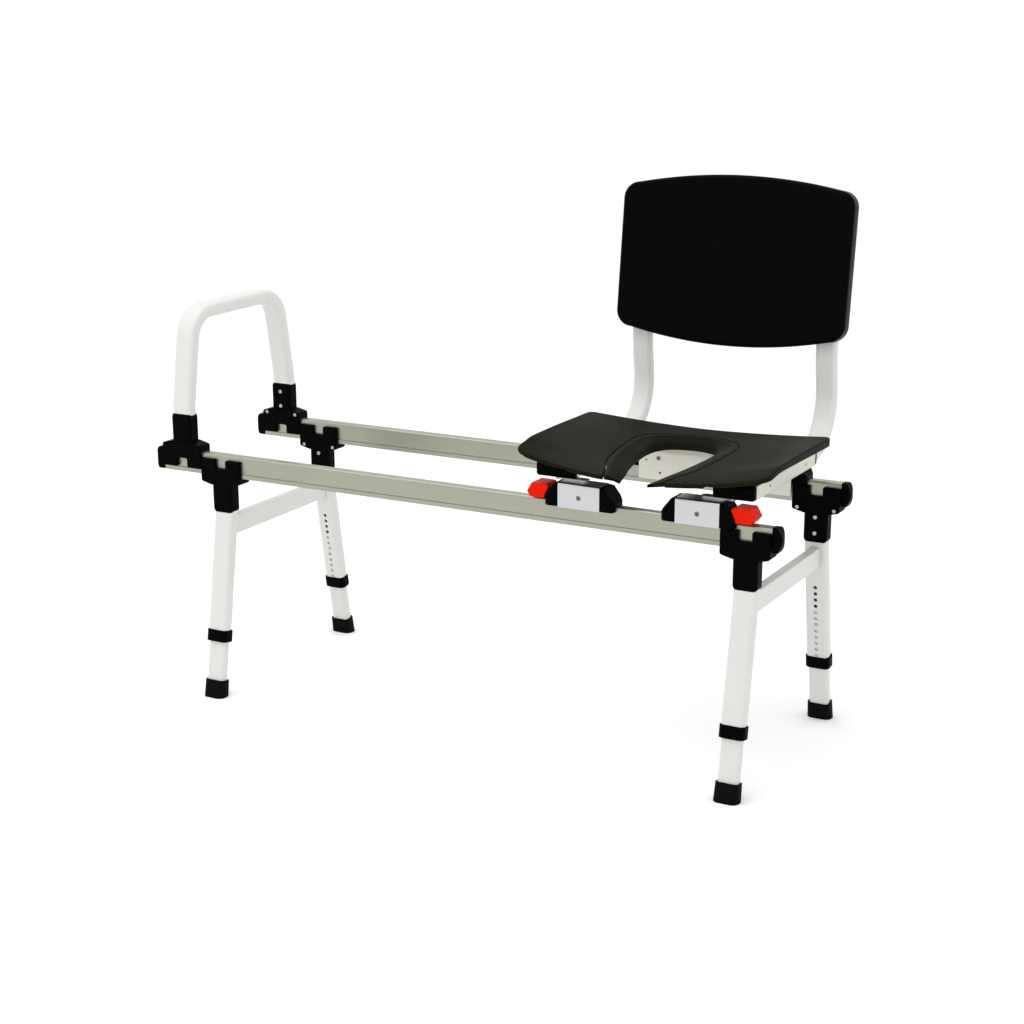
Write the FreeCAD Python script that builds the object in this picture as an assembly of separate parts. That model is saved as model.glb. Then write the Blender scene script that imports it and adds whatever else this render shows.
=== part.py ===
import FreeCAD, Part
import math
import os

# Bath transfer bench: a seat on carriages slides along two rails, which stand on
# four splayed, telescopic legs, with a grab handle across the left-hand end.
# Millimetres. X runs along the rails, -Y is the front, Z is up, the floor is z = 0.

# ---- rails ----
rail_left = -626.4
rail_right = 631.4
rail_y = 167.5
rail_bottom = 432.0
rail_top = 474.5
bead_bottom = 465.0
bead_half = 10.3
bead_round = 4.0
web_half = 9.3
flange_top = 440.0
groove_top = 441.6
groove_half = 8.3
rail_wall = 2.3
cap_end = 647.7
cap_bulge = 7.0
cap_plug = 18.0

# ---- brackets ----
leg_x = (-490.0, 586.0)
handle_x = -581.0
claw_half = 45.0
claw_top = 465.0
window_half = 12.5
window_bottom = 447.0
ear_bottom = 420.0
shoulder = 414.5
stem_half = 22.5
stem_end = 358.5
body_thick = 17.0
stem_thick = 14.4
mirror_height = rail_bottom + rail_top
ear_screw_x = 35.0
ear_screw_z = 423.4
stem_screw_z = (408.0, 378.0)
screw_r = 2.0
screw_head_r = 3.8
screw_head_deep = 2.4
ear_sink = 3.0
stem_sink = 0.8
socket_gap = 0.15

# ---- legs ----
splay = math.radians(9.5)
leg_corner_z = 358.0
leg_bend = 80.0
tube_x = 42.0
tube_y = 26.0
tube_round = 8.0
tube_wall = 2.0
tube_top = 428.0
outer_end = 252.0
inner_x = 36.5
inner_y = 20.5
inner_round = 6.0
inner_wall = 1.8
inner_start = 134.0
first_hole = 86.5
hole_pitch = 12.7
hole_count = 12
button_hole = 7
hole_r = 3.6
collar_from = 230.0
collar_to = 253.2
collar_x = 47.0
collar_y = 31.0
foot_from = 330.0
brace_bottom = 312.0
brace_height = 38.0
brace_thick = 19.0

# ---- grab handle ----
handle_lean = math.radians(9.5)
handle_corner_z = 560.0
handle_top = 735.0
handle_bend = 58.0

# ---- carriages ----
seat_x = 390.5
carriage_x = (-110.5, 110.5)
cover_half = 40.0
cover_wide = 21.0
cover_wall = 3.0
cover_top = 508.5
cover_bottom = 465.0
rear_half = 150.5
end_long = 27.0
glide_gap = 0.6
plate_bottom = 443.6
plate_thick = 3.0
flange_deep = 50.0

# ---- seat frame ----
member_out = 203.5
member_in = 128.5
member_bottom = 511.5
member_high = 25.5
member_wall = 2.5
member_front = -158.0
member_back = 118.0
member_cap = 12.0
back_w = 181.0
back_x = 39.0
back_y = 20.0
back_round = 8.0

# ---- seat and backrest ----
seat_half = 236.0
seat_back = 108.0
seat_front = -207.0
panel_half = 222.0
panel_high = 307.0
panel_thick = 31.2
panel_tilt = math.radians(7.1)
panel_bottom_y = 174.5
panel_bottom_z = 699.5

# the row's origin is centred under the outline, which is deeper behind than in front
frame_shift_y = -6.5

os.makedirs("parts", exist_ok=True)
X = FreeCAD.Vector(1, 0, 0)
Y = FreeCAD.Vector(0, 1, 0)
Z = FreeCAD.Vector(0, 0, 1)


def vec(x, y, z):
    return FreeCAD.Vector(x, y, z)


def block(x0, x1, y0, y1, z0, z1):
    return Part.makeBox(x1 - x0, y1 - y0, z1 - z0, vec(x0, y0, z0))


def rod(r, length, base, axis):
    return Part.makeCylinder(r, length, base, axis)


def rounded_wire(points, radii):
    """Closed wire through the points, each corner rounded by its own radius."""
    n = len(points)
    starts = []
    ends = []
    mids = []
    for i in range(n):
        p = points[i]
        a = (points[i - 1] - p).normalize()
        b = (points[(i + 1) % n] - p).normalize()
        half = a.getAngle(b) / 2.0
        reach = radii[i] / math.tan(half)
        starts.append(p + a * reach)
        ends.append(p + b * reach)
        toward = (a + b).normalize()
        mids.append(p + toward * (radii[i] / math.sin(half) - radii[i]))
    edges = []
    for i in range(n):
        j = (i + 1) % n
        if radii[i] > 0:
            edges.append(Part.Arc(starts[i], mids[i], ends[i]).toShape())
        if (ends[i] - starts[j]).Length > 1e-6:
            edges.append(Part.LineSegment(ends[i], starts[j]).toShape())
    return Part.Wire(edges)


def plate(points, radii, along):
    """Prism on a rounded outline."""
    return Part.Face(rounded_wire(points, radii)).extrude(along)


def section(centre, wide, deep, r, u, v):
    """Rounded rectangle as a wire, wide along u and deep along v."""
    a = u * (wide / 2.0)
    b = v * (deep / 2.0)
    pts = [centre - a - b, centre + a - b, centre + a + b, centre - a + b]
    return rounded_wire(pts, [r] * 4)


def smooth_path(points, radii):
    """Open wire through the points, the inner corners turned into arcs."""
    edges = []
    last = points[0]
    for i in range(1, len(points) - 1):
        p = points[i]
        a = (points[i - 1] - p).normalize()
        b = (points[i + 1] - p).normalize()
        half = a.getAngle(b) / 2.0
        reach = radii[i - 1] / math.tan(half)
        toward = (a + b).normalize()
        mid = p + toward * (radii[i - 1] / math.sin(half) - radii[i - 1])
        edges.append(Part.LineSegment(last, p + a * reach).toShape())
        edges.append(Part.Arc(p + a * reach, mid, p + b * reach).toShape())
        last = p + b * reach
    edges.append(Part.LineSegment(last, points[-1]).toShape())
    return Part.Wire(edges)


def tube(points, radii, wide, deep, r, wall):
    """Hollow rounded tube: wide along X, bent in the YZ plane."""
    path = smooth_path(points, radii)
    start = points[0]
    along = (points[1] - points[0]).normalize()
    across = X.cross(along).normalize()
    outer = path.makePipeShell([section(start, wide, deep, r, X, across)], True, False)
    hole = section(start, wide - 2 * wall, deep - 2 * wall, r - wall, X, across)
    inner = path.makePipeShell([hole], True, False)
    return outer.cut(inner)


def soften(shape, r, chosen):
    edges = [e for e in shape.Edges if chosen(e)]
    return shape.makeFillet(r, edges)


def flip(shape):
    """Mirror from the rear side to the front side."""
    return shape.mirror(vec(0, 0, 0), Y)


def both(shape):
    return shape, flip(shape)


def group(shapes):
    return Part.makeCompound(shapes)


def save(name, shape):
    out = shape.copy()
    out.translate(vec(0, frame_shift_y, 0))
    solids = out.Solids
    out = solids[0] if len(solids) == 1 else Part.makeCompound(solids)
    box = out.optimalBoundingBox(True, False)
    good = out.isValid() and len(solids) > 0 and all(s.isClosed() for s in solids)
    size = [round(v, 1) for v in (box.XMin, box.XMax, box.YMin, box.YMax, box.ZMin, box.ZMax)]
    print("%-24s solids %2d valid %s %s" % (name, len(solids), good, size))
    out.exportStep("parts/%s.step" % name)


# ---- rails: bead on top, plain web, groove and bottom flange, hollow inside ----
def rail_outline():
    bead = block(rail_left, rail_right, rail_y - bead_half, rail_y + bead_half, bead_bottom, rail_top)
    bead = soften(bead, bead_round, lambda e: abs(e.tangentAt(e.FirstParameter).x) > 0.9
                  and e.BoundBox.ZMin > rail_top - 0.1)
    web = block(rail_left, rail_right, rail_y - web_half, rail_y + web_half, groove_top, bead_bottom)
    neck = block(rail_left, rail_right, rail_y - groove_half, rail_y + groove_half, flange_top, groove_top)
    foot = block(rail_left, rail_right, rail_y - bead_half, rail_y + bead_half, rail_bottom, flange_top)
    return bead.fuse([web, neck, foot]).removeSplitter()


rail_solid = rail_outline()
cavity_half = groove_half - rail_wall + 0.3
rail_cavity = block(rail_left - 1, rail_right + 1, rail_y - cavity_half, rail_y + cavity_half,
                    rail_bottom + 2.6, rail_top - 3.4)
rear_rail = rail_solid.cut(rail_cavity)
save("rear_rail", rear_rail)
save("front_rail", flip(rear_rail))


def rail_cap(side):
    x0 = rail_right if side > 0 else -rail_left
    half = bead_half + 0.6
    low = rail_bottom - 0.6
    high = rail_top + 0.6
    end = cap_end
    cap = block(x0, end, rail_y - half, rail_y + half, low, high)
    cap = soften(cap, 4.0, lambda e: e.BoundBox.XLength > 5)
    near = rail_y - 20
    bulge = Part.Arc(vec(end - cap_bulge, near, high), vec(end, near, (low + high) / 2), vec(end - cap_bulge, near, low))
    straight = Part.makePolygon([vec(end - cap_bulge, near, low), vec(x0 - 5, near, low), vec(x0 - 5, near, high),
                                 vec(end - cap_bulge, near, high)])
    side_view = Part.Face(Part.Wire([bulge.toShape()] + straight.Edges)).extrude(Y * 40)
    top_view = plate([vec(x0 - 5, rail_y - half, 400), vec(x0 - 5, rail_y + half, 400), vec(end, rail_y + half, 400),
                      vec(end, rail_y - half, 400)], [0, 0, 7, 7], Z * 100)
    cap = cap.common(side_view).common(top_view)
    plug = block(x0 - cap_plug, x0 + 1, rail_y - cavity_half + 0.15, rail_y + cavity_half - 0.15,
                 rail_bottom + 2.75, rail_top - 3.55)
    cap = cap.fuse(plug).removeSplitter()
    return cap if side > 0 else cap.mirror(vec(0, 0, 0), X)


caps = []
for side in (-1, 1):
    caps.extend(both(rail_cap(side)))
save("rail_end_caps", group(caps))


# ---- brackets: an outer and an inner half clamp the rail and grip the tube's end ----
def bracket_half(x, inward, wide_tube):
    """Half a bracket on the rear rail; inward is True for the half that faces the bench's middle."""
    body_pts = [vec(-claw_half, 0, claw_top), vec(-window_half, 0, claw_top), vec(-window_half, 0, window_bottom),
                vec(window_half, 0, window_bottom), vec(window_half, 0, claw_top), vec(claw_half, 0, claw_top),
                vec(claw_half, 0, ear_bottom), vec(stem_half, 0, shoulder), vec(-stem_half, 0, shoulder),
                vec(-claw_half, 0, ear_bottom)]
    body = plate(body_pts, [3, 2.5, 3, 3, 2.5, 3, 5, 0.5, 0.5, 5], Y * body_thick)
    stem_pts = [vec(-stem_half, 0, shoulder + 12), vec(stem_half, 0, shoulder + 12), vec(stem_half, 0, stem_end),
                vec(-stem_half, 0, stem_end)]
    stem = plate(stem_pts, [1, 1, 10, 10], Y * stem_thick)
    body = soften(body, 1.6, lambda e: e.BoundBox.YMin > body_thick - 0.05)
    stem = soften(stem, 6.0, lambda e: e.BoundBox.YMin > stem_thick - 0.05 and e.BoundBox.ZLength > 20)
    half = body.fuse(stem).removeSplitter()
    if inward:
        spots = [(s * ear_screw_x, ear_screw_z, body_thick, ear_sink) for s in (-1, 1)]
        spots += [(0.0, z, stem_thick, stem_sink) for z in stem_screw_z]
        for sx, sz, thick, sink in spots:
            half = half.cut(rod(screw_head_r + 0.5, sink + 1.0, vec(sx, thick - sink, sz), Y))
            half = half.cut(rod(screw_r + 0.2, 40, vec(sx, -1, sz), Y))
        half = half.mirror(vec(0, 0, 0), Y)
    else:
        spots = [(s * ear_screw_x, ear_screw_z) for s in (-1, 1)] + [(0.0, z) for z in stem_screw_z]
        for sx, sz in spots:
            half = half.cut(rod(screw_r + 0.2, 14.2, vec(sx, -1, sz), Y))
    half.translate(vec(x, rail_y, 0))
    half = half.cut(rail_solid)
    return half.cut(wide_tube)


def tip_over(shape):
    """Turn a bracket upside down about the rail's middle height."""
    return shape.mirror(vec(0, 0, mirror_height / 2.0), Z)


def leg_path(x, start_z, end_s):
    corner = vec(x, rail_y, leg_corner_z)
    along = vec(0, math.sin(splay), -math.cos(splay))
    return [vec(x, rail_y, start_z), corner, corner + along * end_s]


def leg_point(x, s):
    return leg_path(x, tube_top, s)[2]


leg_along = vec(0, math.sin(splay), -math.cos(splay))
leg_across = vec(0, math.cos(splay), math.sin(splay))


def tube_blank(points, radii, gap):
    """The bent tube's outer form as a solid, larger all round by the gap."""
    ring = section(points[0], tube_x + 2 * gap, tube_y + 2 * gap, tube_round + gap, X, Y)
    return smooth_path(points, radii).makePipeShell([ring], True, False)


def straight_socket(x):
    wide = tube_x + 2 * socket_gap
    deep = tube_y + 2 * socket_gap
    wire = section(vec(x, rail_y, tube_top + 0.5), wide, deep, tube_round + socket_gap, X, Y)
    return Part.Face(wire).extrude(Z * (stem_end - tube_top - 5))


leg_names = {leg_x[0]: "left", leg_x[1]: "right"}
for x in leg_x:
    hole = tube_blank(leg_path(x, tube_top + 0.5, 60), [leg_bend], socket_gap)
    outer = bracket_half(x, False, hole)
    inner = bracket_half(x, True, hole)
    for place, turn in (("rear", False), ("front", True)):
        save("leg_bracket_outer_%s_%s" % (place, leg_names[x]), flip(outer) if turn else outer)
        save("leg_bracket_inner_%s_%s" % (place, leg_names[x]), flip(inner) if turn else inner)

top_socket = tip_over(straight_socket(handle_x))
for inward, word in ((False, "outer"), (True, "inner")):
    blank = bracket_half(handle_x, inward, block(0, 1, 0, 1, -50, -40))
    blank = tip_over(blank)
    blank = blank.fuse(block(handle_x - 9, handle_x - 8, rail_y - 12 if inward else rail_y + 10.5,
                             rail_y - 10.5 if inward else rail_y + 12, 470, 471)).removeSplitter()
    blank = blank.cut(rail_solid).cut(top_socket)
    save("handle_bracket_%s_rear" % word, blank)
    save("handle_bracket_%s_front" % word, flip(blank))


def bracket_screw(sx, sz, thick, sink):
    """Pan-head screw driven from the inner side; its head is let into the bracket by the sink."""
    face = -thick + sink - screw_head_deep
    head = rod(screw_head_r, screw_head_deep, vec(sx, face, sz), Y)
    head = soften(head, 0.9, lambda e: e.BoundBox.YMax < face + 0.1 and e.BoundBox.YLength < 0.01)
    shank = rod(screw_r, thick - sink + 12.1, vec(sx, -thick + sink - 0.1, sz), Y)
    drive = rod(1.7, 1.5, vec(sx, face - 0.1, sz), Y)
    return head.fuse(shank).cut(drive).removeSplitter()


screws = []
for x in leg_x + (handle_x,):
    for sx, sz, thick, sink in ((-ear_screw_x, ear_screw_z, body_thick, ear_sink),
                                (ear_screw_x, ear_screw_z, body_thick, ear_sink),
                                (0.0, stem_screw_z[0], stem_thick, stem_sink),
                                (0.0, stem_screw_z[1], stem_thick, stem_sink)):
        one = bracket_screw(sx, sz, thick, sink)
        one.translate(vec(x, rail_y, 0))
        if x == handle_x:
            one = tip_over(one)
        screws.extend(both(one))
save("bracket_screws", group(screws))


# ---- outer leg tubes, with the row of height holes on the side facing the middle ----
def screw_ways(x, heights):
    return [rod(screw_r + 0.6, 60, vec(x, rail_y - 30, z), Y) for z in heights]


def leg_outer(x):
    shape = tube(leg_path(x, tube_top, outer_end), [leg_bend], tube_x, tube_y, tube_round, tube_wall)
    for i in range(hole_count):
        at = leg_point(x, first_hole + i * hole_pitch)
        shape = shape.cut(rod(hole_r, 18, at - leg_across * 18, leg_across))
    return shape.cut(screw_ways(x, stem_screw_z))


def leg_inner(x):
    start = leg_point(x, inner_start)
    stop = leg_point(x, foot_from + 22)
    outer = Part.Face(section(start, inner_x, inner_y, inner_round, X, leg_across)).extrude(stop - start)
    hollow = Part.Face(section(start, inner_x - 2 * inner_wall, inner_y - 2 * inner_wall,
                               inner_round - inner_wall, X, leg_across)).extrude(stop - start)
    shape = outer.cut(hollow)
    at = leg_point(x, first_hole + (button_hole - 1) * hole_pitch)
    return shape.cut(rod(hole_r, 18, at - leg_across * 18, leg_across))


def collar(x):
    a = leg_point(x, collar_from)
    b = leg_point(x, collar_to)
    shape = Part.Face(section(a, collar_x, collar_y, tube_round + 2.4, X, leg_across)).extrude(b - a)
    shape = soften(shape, 1.5, lambda e: e.BoundBox.DiagonalLength < 60 and abs(e.tangentAt(e.FirstParameter).dot(leg_along)) < 0.5)
    c = leg_point(x, collar_from - 5)
    d = leg_point(x, outer_end)
    bore = Part.Face(section(c, tube_x, tube_y, tube_round, X, leg_across)).extrude(d - c)
    e = leg_point(x, collar_to + 5)
    lip = Part.Face(section(d, inner_x + 0.8, inner_y + 0.8, inner_round + 0.4, X, leg_across)).extrude(e - d)
    return shape.cut(bore).cut(lip)


def foot_tip(x):
    """Rubber tip: a flaring skirt on the tube's end, cut level with the floor."""
    a = leg_point(x, foot_from)
    b = leg_point(x, foot_from + 14)
    c = leg_point(x, foot_from + 45)
    upper = section(a, 43.5, 27.5, 8.5, X, leg_across)
    waist = section(b, 44.5, 28.5, 9.5, X, leg_across)
    lower = section(c, 48.5, 32.5, 15.0, X, leg_across)
    shape = Part.makeLoft([upper, waist, lower], True, True)
    shape = shape.cut(block(x - 60, x + 60, rail_y - 60, rail_y + 140, -60, 0))
    low = leg_point(x, foot_from + 22)
    bore = Part.Face(section(a - leg_along * 5, inner_x, inner_y, inner_round, X, leg_across)).extrude(low - a + leg_along * 5)
    return shape.cut(bore)


def snap_clip(x):
    """Leaf spring folded inside the inner tube, with the button riveted to its free end."""
    at = leg_point(x, first_hole + (button_hole - 1) * hole_pitch)
    n = leg_across * -1.0
    button = rod(hole_r - 0.35, 9.0, at + n * 5.6, n)
    button = soften(button, 1.2, lambda e: e.BoundBox.DiagonalLength > 6 and (e.CenterOfMass - at).dot(n) > 14.0)
    leaf = block(-5, 5, -0.5, 0.5, -6, 34)
    back = block(-5, 5, -0.5, 0.5, -6, 34)
    fold = block(-5, 5, -5.6, 5.9, 33, 34)
    leaf.translate(vec(0, 5.2, 0))
    back.translate(vec(0, -5.2, 0))
    spring = leaf.fuse([back, fold]).removeSplitter()
    place = FreeCAD.Placement(vec(0, 0, 0), FreeCAD.Rotation(X, n, leg_along, "ZXY"))
    spring.Placement = place
    spring.translate(at)
    return spring.fuse(button).removeSplitter()


def brace(x):
    """Cross tube between the front and the rear leg of a frame, ends cut to the legs."""
    shape = block(x - brace_thick / 2, x + brace_thick / 2, -rail_y - 30, rail_y + 30, brace_bottom,
                  brace_bottom + brace_height)
    shape = soften(shape, 3.0, lambda e: e.BoundBox.YLength > 100)
    hollow = block(x - brace_thick / 2 + 1.8, x + brace_thick / 2 - 1.8, -rail_y - 31, rail_y + 31,
                   brace_bottom + 1.8, brace_bottom + brace_height - 1.8)
    shape = shape.cut(hollow)
    full = tube_blank(leg_path(x, tube_top, 200), [leg_bend], 0.0)
    beyond = block(x - 30, x + 30, rail_y + 4, rail_y + 80, 290, 370)
    for cutter in (full, beyond):
        shape = shape.cut(cutter).cut(flip(cutter))
    pieces = sorted(shape.Solids, key=lambda s: -s.Volume)
    return pieces[0]


collars = []
for x in leg_x:
    side = leg_names[x]
    collars.extend(both(collar(x)))
    pieces = (("leg_outer_tube", leg_outer(x)), ("leg_inner_tube", leg_inner(x)), ("foot_tip", foot_tip(x)),
              ("snap_clip", snap_clip(x)))
    for name, shape in pieces:
        save("%s_rear_%s" % (name, side), shape)
        save("%s_front_%s" % (name, side), flip(shape))
    save("leg_brace_%s" % side, brace(x))
save("leg_collars", group(collars))


# ---- grab handle: one bent tube plugged into the two upturned brackets ----
foot_z = mirror_height - tube_top
lean_y = rail_y - (handle_top - handle_corner_z) * math.tan(handle_lean)
handle_points = [vec(handle_x, -rail_y, foot_z), vec(handle_x, -rail_y, handle_corner_z),
                 vec(handle_x, -lean_y, handle_top), vec(handle_x, lean_y, handle_top),
                 vec(handle_x, rail_y, handle_corner_z), vec(handle_x, rail_y, foot_z)]
handle = tube(handle_points, [80.0, handle_bend, handle_bend, 80.0], tube_x, tube_y, tube_round, tube_wall)
for way in screw_ways(handle_x, [mirror_height - z for z in stem_screw_z]):
    handle = handle.cut(way).cut(flip(way))
save("grab_handle", handle)


# ---- carriages: aluminium covers over plastic glides, tapered plastic end pieces ----
def cover(x0, x1):
    shape = block(x0, x1, rail_y - cover_wide, rail_y + cover_wide, cover_bottom, cover_top)
    shape = soften(shape, 4.5, lambda e: e.BoundBox.XLength > 5 and e.BoundBox.ZMin > cover_top - 0.1)
    hollow = block(x0 - 1, x1 + 1, rail_y - cover_wide + cover_wall, rail_y + cover_wide - cover_wall,
                   cover_bottom - 1, cover_top - cover_wall)
    hollow = soften(hollow, 1.5, lambda e: e.BoundBox.XLength > 5 and e.BoundBox.ZMin > cover_top - cover_wall - 0.1)
    return shape.cut(hollow)


def rail_way(x0, x1):
    half = bead_half + glide_gap
    return block(x0 - 1, x1 + 1, rail_y - half, rail_y + half, cover_bottom - 40, rail_top + glide_gap)


def glide(x0, x1):
    shape = block(x0, x1, rail_y - cover_wide + cover_wall, rail_y + cover_wide - cover_wall,
                  cover_bottom + 0.8, cover_top - cover_wall)
    shape = soften(shape, 1.5, lambda e: e.BoundBox.XLength > 5 and e.BoundBox.ZMin > cover_top - cover_wall - 0.1)
    return shape.cut(rail_way(x0, x1))


def cover_screw(x, face_y, into):
    """Socket-head screw let into the face, its thread in the glide."""
    head = rod(4.2, 2.6, vec(x, face_y - 0.3 * into, 485.0), Y * into)
    shank = rod(2.4, 6.4, vec(x, face_y + 2.0 * into, 485.0), Y * into)
    key = Part.Face(Part.makePolygon([vec(x + 2.2 * math.cos(i * math.pi / 3), face_y - 0.4 * into,
                                          485.0 + 2.2 * math.sin(i * math.pi / 3)) for i in range(7)]))
    return head.fuse(shank).cut(key.extrude(Y * (1.9 * into))).removeSplitter()


def screw_pit(x, face_y, into):
    head = rod(4.4, 2.5, vec(x, face_y - 0.2 * into, 485.0), Y * into)
    shank = rod(2.6, 7.0, vec(x, face_y + 2.0 * into, 485.0), Y * into)
    return head.fuse(shank)


def end_piece(x0, way, slotted):
    """Tapered nose on a carriage's end; way is +1 or -1 along X."""
    pts = [vec(0, 0, cover_bottom + 0.8), vec(0, 0, cover_top - 1.0), vec(7, 0, cover_top - 1.0), vec(end_long, 0, 482),
           vec(end_long, 0, cover_bottom + 0.8)]
    shape = plate(pts, [0.5, 0.5, 3, 3, 2], Y * (2 * cover_wide - 1.0))
    shape.translate(vec(0, rail_y - cover_wide + 0.5, 0))
    for s in (-1, 1):
        edge_y = rail_y + s * (cover_wide - 0.5)
        tri = Part.Face(Part.makePolygon([vec(-1, edge_y + s, 520), vec(-1, edge_y + s, cover_top - 5.5),
                                          vec(-1, edge_y, cover_top - 5.5), vec(-1, edge_y - 4.5 * s, cover_top - 1),
                                          vec(-1, edge_y - 4.5 * s, 520), vec(-1, edge_y + s, 520)]))
        shape = shape.cut(tri.extrude(X * 9))
        nose = Part.Face(Part.makePolygon([vec(end_long + 1, edge_y + s, 460), vec(end_long - 7, edge_y + s, 460),
                                           vec(end_long, edge_y - 5 * s, 460), vec(end_long + 1, edge_y - 5 * s, 460),
                                           vec(end_long + 1, edge_y + s, 460)]))
        shape = shape.cut(nose.extrude(Z * 60))
    shape = shape.cut(rail_way(-1, end_long + 1))
    if slotted:
        shape = shape.cut(block(2, end_long + 1, rail_y - 7.3, rail_y + 7.3, 482.5, 497.5))
    if way < 0:
        shape = shape.mirror(vec(0, 0, 0), X)
    shape.translate(vec(x0, 0, 0))
    return shape


def lock_tab(x0, way):
    """Red pull tab: a faceted block over the rail with a shank running in the end piece."""
    pts = [vec(20, 0, 498), vec(24, 0, 502.5), vec(52, 0, 502.5), vec(61.5, 0, 486), vec(55, 0, 477), vec(28.0, 0, 477),
           vec(28.0, 0, 482.0)]
    shape = plate(pts, [1.5, 2, 2, 2, 2, 1, 0.5], Y * 36.0)
    shape.translate(vec(0, rail_y - 17.5, 0))
    shank = block(4.5, 30, rail_y - 7, rail_y + 7, 482.8, 497.2)
    shape = shape.fuse(shank).removeSplitter()
    if way < 0:
        shape = shape.mirror(vec(0, 0, 0), X)
    shape.translate(vec(x0, 0, 0))
    return shape


glides = []
cover_screws = []
plain_ends = []
lock_ends = []
for offset, side in zip(carriage_x, ("left", "right")):
    mid = seat_x + offset
    shell = cover(mid - cover_half, mid + cover_half)
    pad = glide(mid - cover_half, mid + cover_half)
    pit = screw_pit(mid, rail_y + cover_wide, -1)
    save("carriage_cover_front_%s" % side, flip(shell.cut(pit)))
    glides.append(flip(pad.cut(pit)))
    cover_screws.append(flip(cover_screw(mid, rail_y + cover_wide, -1)))
    outward = -1 if side == "left" else 1
    plain_ends.append(flip(end_piece(mid - outward * cover_half, -outward, False)))
    lock_ends.append(flip(end_piece(mid + outward * cover_half, outward, True)))
    save("lock_tab_%s" % side, flip(lock_tab(mid + outward * cover_half, outward)))

rear_shell = cover(seat_x - rear_half, seat_x + rear_half)
plate_y = rail_y - cover_wide
angle = block(seat_x - rear_half, seat_x + rear_half, plate_y - plate_thick, plate_y, plate_bottom, cover_top)
shelf = block(seat_x - rear_half, seat_x + rear_half, plate_y - flange_deep, plate_y, cover_top, member_bottom)
angle = angle.fuse(shelf).removeSplitter()
for dx, dz, r in ((-135.0, 480.0, 2.6), (-107.0, 457.5, 2.2), (107.0, 457.5, 2.2), (135.0, 480.0, 2.6)):
    angle = angle.cut(rod(r, 10, vec(seat_x + dx, plate_y - 8, dz), Y))
for offset in carriage_x:
    mid = seat_x + offset
    pad = glide(mid - cover_half, mid + cover_half)
    pit = screw_pit(mid, plate_y - plate_thick, 1)
    angle = angle.cut(pit)
    rear_shell = rear_shell.cut(rod(2.6, 10, vec(mid, plate_y - 2, 485), Y))
    glides.append(pad.cut(pit))
    cover_screws.append(cover_screw(mid, plate_y - plate_thick, 1))
save("carriage_cover_rear", rear_shell)
save("rear_support_angle", angle)
save("carriage_glides", group(glides))
save("carriage_screws", group(cover_screws))
plain_ends.append(end_piece(seat_x - rear_half, -1, False))
plain_ends.append(end_piece(seat_x + rear_half, 1, False))
save("end_pieces_plain", group(plain_ends))
save("end_pieces_lock", group(lock_ends))


# ---- seat frame: two hollow side members, their end caps, spacers and a cross bar ----
def member(way):
    """Side member; way is -1 left or +1 right of the seat's middle."""
    shape = block(member_in, member_out, member_front, member_back, member_bottom, member_bottom + member_high)
    shape = soften(shape, 2.5, lambda e: e.BoundBox.YLength > 100)
    cells = ((back_w - back_x / 2 - 0.3, member_out - member_wall), (member_in + member_wall, back_w - back_x / 2 - 0.3 - member_wall))
    for a, b in cells:
        shape = shape.cut(block(a, b, member_front - 1, member_back + 1, member_bottom + member_wall,
                                member_bottom + member_high - member_wall))
    shape = shape.cut(rod(2.4, 12, vec(member_out - 6, -97.0, member_bottom + 13), X))
    shape = shape.cut(rod(2.4, 12, vec(member_out - 6, 72.0, member_bottom + 13), X))
    if way < 0:
        shape = shape.mirror(vec(0, 0, 0), X)
    shape.translate(vec(seat_x, 0, 0))
    return shape


def member_cap_front(way):
    top = member_bottom + member_high
    shape = block(member_in, member_out, member_front - member_cap, member_front, member_bottom, top)
    shape = soften(shape, 5.5, lambda e: e.BoundBox.YMax < member_front - member_cap + 0.1 or e.BoundBox.YLength > 5)
    plug = block(member_in + member_wall + 0.2, back_w - back_x / 2 - 3.0, member_front - 1, member_front + 14,
                 member_bottom + member_wall + 0.2, top - member_wall - 0.2)
    shape = shape.fuse(plug).removeSplitter()
    if way < 0:
        shape = shape.mirror(vec(0, 0, 0), X)
    shape.translate(vec(seat_x, 0, 0))
    return shape


def member_cap_back(way):
    top = member_bottom + member_high
    shape = block(member_in, member_out, member_back, member_back + member_cap, member_bottom, top)
    shape = soften(shape, 5.5, lambda e: e.BoundBox.YMin > member_back + member_cap - 0.1 or e.BoundBox.YLength > 5)
    plug = block(member_in + member_wall + 0.2, back_w - back_x / 2 - 3.0, member_back - 14, member_back + 1,
                 member_bottom + member_wall + 0.2, top - member_wall - 0.2)
    shape = shape.fuse(plug).removeSplitter()
    mid_z = member_bottom + member_high / 2
    way_in = section(vec(back_w, member_back - 1, mid_z), back_x + 0.6, back_y + 0.6, back_round + 0.3, X, Z)
    shape = shape.cut(Part.Face(way_in).extrude(Y * (member_cap + 2)))
    if way < 0:
        shape = shape.mirror(vec(0, 0, 0), X)
    shape.translate(vec(seat_x, 0, 0))
    return shape


save("side_member_left", member(-1))
save("side_member_right", member(1))
save("member_caps", group([member_cap_front(-1), member_cap_front(1), member_cap_back(-1), member_cap_back(1)]))
spacers = []
for way in (-1, 1):
    a = 105.5 if way > 0 else -168.5
    pts = [vec(a, -166, 0), vec(a + 63, -166, 0), vec(a + 63, -148, 0), vec(a, -148, 0)]
    one = plate(pts, [8, 8, 8, 8], Z * (member_bottom - cover_top))
    one.translate(vec(seat_x, 0, cover_top))
    spacers.append(one)
save("carriage_spacers", group(spacers))
bar = block(seat_x - member_in, seat_x + member_in, 82, 110, member_bottom + 3, member_bottom + 15)
save("seat_cross_bar", bar)


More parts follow.
